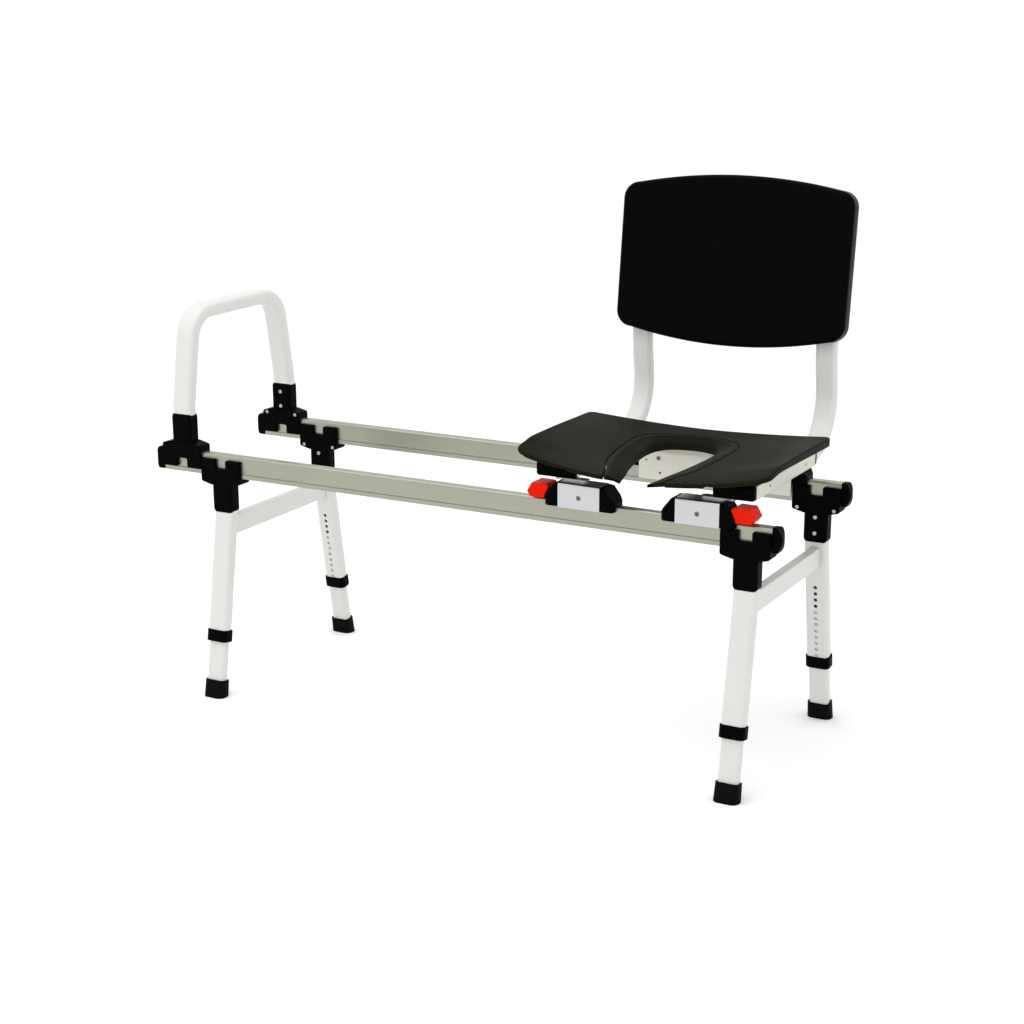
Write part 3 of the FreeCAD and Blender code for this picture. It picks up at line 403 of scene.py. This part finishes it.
# The ribs under the seat are part of the same dark moulding.
seat_rib = moulded("polyurethane, moulded ribs", "#151613", "#1C1D19", 0.6, 0.25, 0.0012, 0.0002)
dress(seat_rib, "seat_mounts")


# ---- backrest ----
# Blow-moulded black panel with a gently hollow front, a flat back and rolled edges.
# It is screwed from behind to the two bent tubes.
half_wide = 222.0
tall = 307.0
thick = 31.2
tilt = np.radians(7.1)
low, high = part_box("backrest_panel")
panel_mid = (low.x + high.x) / 2 * 1000
# the lowest front point of the tilted panel gives its corner of origin
base_z = high.z * 1000 - tall * np.cos(tilt)
base_y = low.y * 1000


def outline(inset):
    """Panel outline: bowed top and bottom, straight sides, rounded corners, all set in by the inset."""
    r = 30.0
    side = half_wide
    top_w = np.linspace(0, side - r * 0.93, 30)
    low_w = top_w[::-1]
    top = np.stack([top_w, tall - 25.5 * (top_w / side) ** 2], 1)
    low_side = np.stack([low_w, 29.0 * (low_w / side) ** 2], 1)
    top_end = top[-1]
    low_start = low_side[0]
    right = np.concatenate([top, corner(side - r, top_end[1] - r * 0.985, r, 80, -80, 12),
                            corner(side - r, low_start[1] + r * 0.985, r, 0, -80, 12), low_side])
    whole = np.concatenate([right, (right * (-1, 1))[::-1][1:-1]])
    loop = np.concatenate([whole, whole[:1]])
    even = spaced(loop, 321)[:-1]
    middle = np.array([0.0, tall / 2])
    edge = np.roll(even, -1, axis=0) - np.roll(even, 1, axis=0)
    normal = np.stack([edge[:, 1], -edge[:, 0]], 1)
    normal /= np.linalg.norm(normal, axis=1)[:, None]
    normal *= np.sign(((even - middle) * normal).sum(1))[:, None]
    return even - normal * inset


def backrest_rings():
    """Rings from the front's middle out to the edge, round it, and in over the back to its middle."""
    middle = np.array([0.0, tall / 2])
    turn = np.radians(np.linspace(0, 90, 8))
    rings = []
    roll = 7.0
    back_roll = 5.0
    face = outline(roll)
    for share in np.concatenate([np.linspace(0.04, 0.94, 22), [0.97, 1.0]]):
        flat = middle + (face - middle) * share
        rings.append(np.stack([flat[:, 0], 6.0 * (1 - (flat[:, 0] / half_wide) ** 2), flat[:, 1]], 1))
    for a in turn[1:]:
        flat = outline(roll * (1 - np.sin(a)))
        front = 6.0 * (1 - (flat[:, 0] / half_wide) ** 2)
        rings.append(np.stack([flat[:, 0], front + roll * (1 - np.cos(a)), flat[:, 1]], 1))
    for a in turn:
        flat = outline(back_roll * (1 - np.cos(a)))
        rings.append(np.stack([flat[:, 0], thick - back_roll * (1 - np.sin(a)) + 0 * flat[:, 0], flat[:, 1]], 1))
    face = outline(back_roll)
    for share in np.linspace(1.0, 0.04, 12)[1:]:
        flat = middle + (face - middle) * share
        rings.append(np.stack([flat[:, 0], thick + 0 * flat[:, 0], flat[:, 1]], 1))
    grid = np.array(rings)
    across, out_, up = grid[..., 0], grid[..., 1], grid[..., 2]
    y = out_ * np.cos(tilt) + up * np.sin(tilt) + base_y
    z = up * np.cos(tilt) - out_ * np.sin(tilt) + base_z
    return np.stack([across + panel_mid, y, z], -1) / 1000.0


black_panel = moulded("blow-moulded polyethylene, black", "#020202", "#030304", 0.26, 0.03, 0.0012, 0.00002)
panel = skin("backrest_moulding", backrest_rings(), black_panel)
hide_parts("backrest_panel")
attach(panel, "seat_carriage")


# ---- floor and backdrop ----
# A pale studio floor that curves up into a backdrop, well clear of the bench.
# Matt white paint, even all over.
def sweep_of_floor():
    """Floor line in Y and Z, flat then a quarter circle then straight up, drawn out along X."""
    bend = np.radians(np.linspace(0, 90, 24))
    y = np.concatenate([[-9.0, 0.0], 7.0 + 4.0 * np.sin(bend), [11.0]])
    z = np.concatenate([[0.0, 0.0], 4.0 - 4.0 * np.cos(bend), [9.0]])
    x = np.linspace(-16, 16, 9)
    return np.stack([np.broadcast_to(x[:, None], (9, len(y))), np.broadcast_to(y, (9, len(y))),
                     np.broadcast_to(z, (9, len(y)))], -1)


grid = sweep_of_floor()
spot = np.arange(grid.shape[0] * grid.shape[1]).reshape(grid.shape[:2])
quads = np.stack([spot[:-1, :-1], spot[1:, :-1], spot[1:, 1:], spot[:-1, 1:]], -1).reshape(-1, 4)
mesh = bpy.data.meshes.new("studio_floor")
mesh.from_pydata(grid.reshape(-1, 3).tolist(), [], quads.tolist())
mesh.polygons.foreach_set("use_smooth", [True] * len(quads))
made, tree, out = material("studio paint, matt white")
shader = add(tree, "ShaderNodeBsdfPrincipled", {"Base Color": linear("#FCFCFC"), "Roughness": 0.9,
                                                "Specular IOR Level": 0.1})
tree.links.new(shader.outputs["BSDF"], out.inputs["Surface"])
mesh.materials.append(made)
floor = bpy.data.objects.new("studio_floor", mesh)
bpy.context.scene.collection.objects.link(floor)


# ---- light ----
# Even studio light: a bright room, a large softbox overhead and a faint one at the left front.
world = bpy.data.worlds.new("studio")
bpy.context.scene.world = world
world.use_nodes = True
world.node_tree.nodes["Background"].inputs["Color"].default_value = (1.0, 1.0, 1.0, 1.0)
world.node_tree.nodes["Background"].inputs["Strength"].default_value = 1.05


def softbox(name, place, aim, wide, high_, power):
    """Rectangular area light at a place, turned towards a point."""
    lamp = bpy.data.lights.new(name, "AREA")
    lamp.shape = "RECTANGLE"
    lamp.size = wide
    lamp.size_y = high_
    lamp.energy = power
    box_ = bpy.data.objects.new(name, lamp)
    box_.location = place
    box_.rotation_euler = (Vector(aim) - Vector(place)).to_track_quat("-Z", "Y").to_euler()
    bpy.context.scene.collection.objects.link(box_)


softbox("overhead", (-0.6, -0.8, 3.4), (0.0, 0.2, 0.4), 4.0, 3.2, 45.0)
softbox("left_front", (-3.2, -2.8, 1.9), (0.0, 0.0, 0.5), 2.2, 2.2, 5.0)
bpy.context.scene.view_settings.view_transform = "Standard"
bpy.context.scene.view_settings.look = "None"


# ---- camera ----
# A long lens from the front right, slightly above the seat.
azimuth, elevation, roll = np.radians([30.05, 16.52, -0.58])
back = np.array([np.sin(azimuth) * np.cos(elevation), -np.cos(azimuth) * np.cos(elevation), np.sin(elevation)])
place = np.array([-0.05606, -0.0065, 0.27913]) + back * 3.7641
right = np.cross(-back, [0.0, 0.0, 1.0])
right /= np.linalg.norm(right)
up = np.cross(right, -back)
across = np.cos(roll) * right + np.sin(roll) * up
upward = -np.sin(roll) * right + np.cos(roll) * up
lens = bpy.data.cameras.new("camera")
lens.lens = 69.18
lens.sensor_width = 36.0
lens.shift_x = 0.0462
lens.shift_y = 0.0464
lens.clip_end = 100.0
camera = bpy.data.objects.new("camera", lens)
axes = np.stack([across, upward, back], 1)
camera.matrix_world = Matrix([[*map(float, row), float(p)] for row, p in zip(axes, place)] + [[0, 0, 0, 1]])
bpy.context.scene.collection.objects.link(camera)
bpy.context.scene.camera = camera
